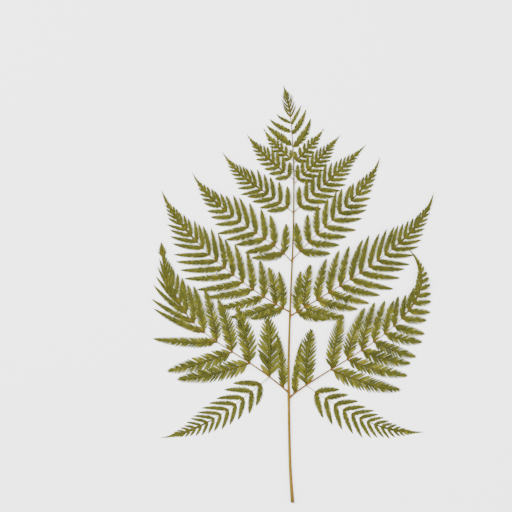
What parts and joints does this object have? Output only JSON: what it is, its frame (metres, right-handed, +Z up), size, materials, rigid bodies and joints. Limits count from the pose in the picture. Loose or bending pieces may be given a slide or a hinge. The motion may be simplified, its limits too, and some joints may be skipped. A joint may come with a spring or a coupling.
{
  "type": "bracken frond",
  "caption": "Cut bracken frond lying flat: a straight stem with opposite, twice-divided triangular pinnae that shorten to a leafy tip.",
  "frame": {"origin": "centre of the frond's outline in plan, on the surface it lies on", "axes": "+Y along the stem from its cut foot to the leafy tip, +Z up out of the surface the frond lies on, +X to the right of the stem seen from above"},
  "size_m": [0.4525, 0.6692, 0.0098],
  "materials": {
    "bracken_green": "matte",
    "bracken_stem": "satin"
  },
  "bodies": {
    "root": {"stipe_and_rachis": "bracken_stem", "pinna_left_01": "bracken_green", "pinna_left_02": "bracken_green", "pinna_left_03": "bracken_green", "pinna_left_04": "bracken_green", "pinna_left_05": "bracken_green", "pinna_left_06": "bracken_green", "pinna_left_07": "bracken_green", "pinna_left_08": "bracken_green", "pinna_left_09": "bracken_green", "pinna_right_01": "bracken_green", "pinna_right_02": "bracken_green", "pinna_right_03": "bracken_green", "pinna_right_04": "bracken_green", "pinna_right_05": "bracken_green", "pinna_right_06": "bracken_green", "pinna_right_07": "bracken_green", "pinna_right_08": "bracken_green", "pinna_right_09": "bracken_green", "frond_tip": "bracken_green"}
  },
  "joints": []
}
